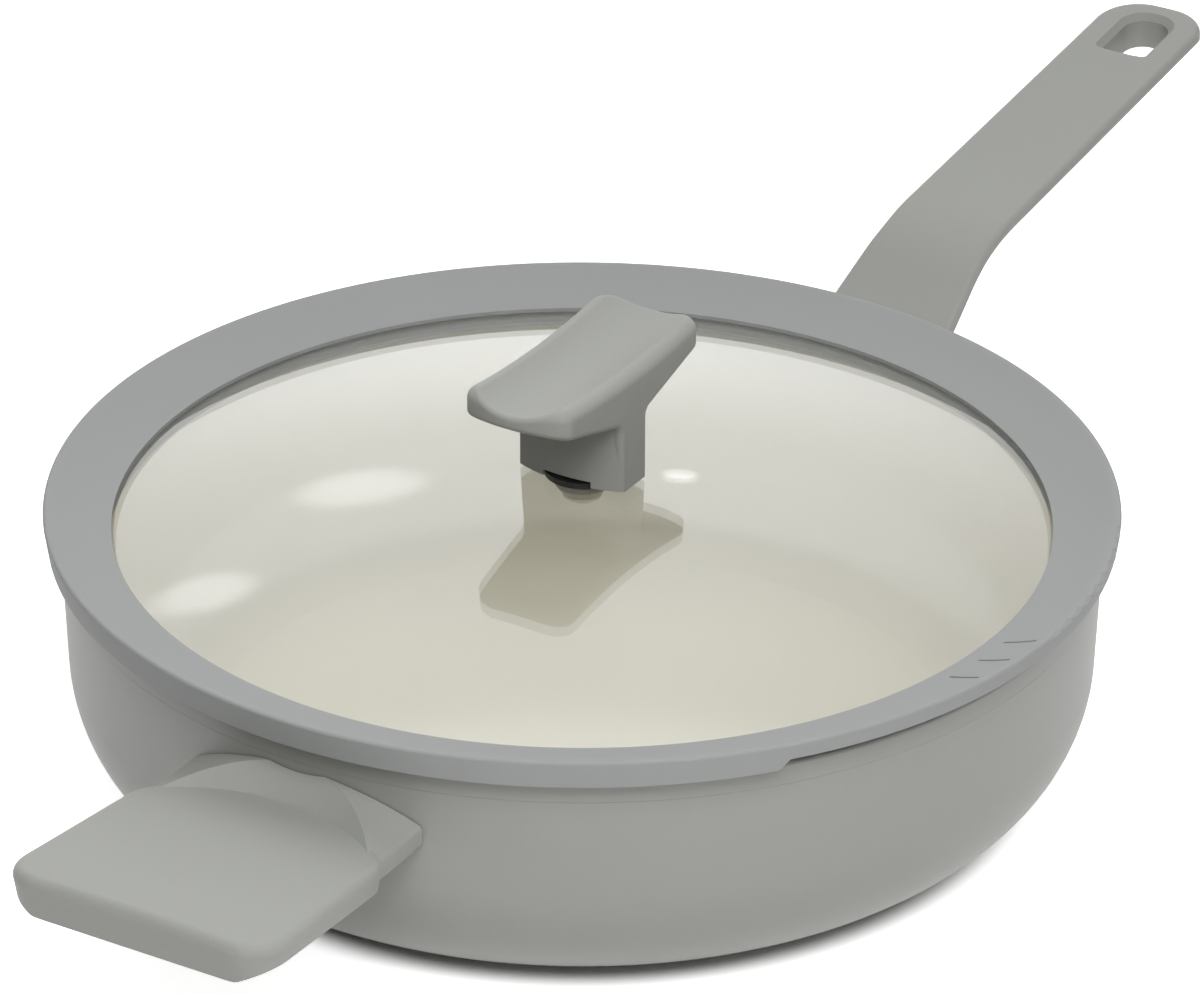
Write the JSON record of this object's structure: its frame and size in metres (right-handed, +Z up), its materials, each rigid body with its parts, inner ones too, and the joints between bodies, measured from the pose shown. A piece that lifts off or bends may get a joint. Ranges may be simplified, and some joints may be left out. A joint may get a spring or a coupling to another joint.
{
  "type": "saute pan with lid",
  "caption": "Round straight-sided saute pan with a long handle, a helper handle and a domed glass lid with a silicone rim and knob.",
  "frame": {"origin": "centre of the pan's base, on its underside", "axes": "+Z up, +X towards the long handle, the helper handle at -X; XZ is the plane of symmetry of both handles"},
  "size_m": [0.569, 0.2936, 0.1239],
  "materials": {
    "pan_paint": "matt grey outside, cream ceramic coating inside",
    "base_steel": "brushed",
    "bracket_steel": "plain stamped",
    "soft_touch": "soft-touch coat over moulded resin",
    "screw_steel": "plain",
    "lid_glass": "clear toughened glass",
    "grey_silicone": "matt silicone",
    "brass_insert": "turned",
    "black_silicone": "matt",
    "clear_silicone": "matt"
  },
  "bodies": {
    "pan": {"pan_body": "pan_paint", "induction_plate": "base_steel", "long_handle_bracket": "bracket_steel", "long_handle": "soft_touch", "long_handle_screw": "screw_steel", "long_handle_screw_washer": "screw_steel", "helper_handle_bracket": "bracket_steel", "helper_handle": "soft_touch", "helper_handle_screws": "screw_steel", "helper_handle_screw_washers": "screw_steel"},
    "lid_axis": {"lid_screw": "screw_steel", "lid_screw_washer": "screw_steel", "lid_screw_seal": "clear_silicone"},
    "lid": {"glass_lid": "lid_glass", "silicone_rim": "grey_silicone", "knob": "soft_touch", "knob_insert": "brass_insert", "knob_washer": "black_silicone"}
  },
  "joints": [
    {"name": "lid_lift", "type": "slide", "parent": "pan", "child": "lid_axis", "axis": [0, 0, 1], "range_m": [0, 0.15]},
    {"name": "lid_turn", "type": "hinge", "parent": "lid_axis", "child": "lid", "pos_m": [0, 0, 0.0876], "axis": [0, 0, 1], "continuous": true}
  ]
}
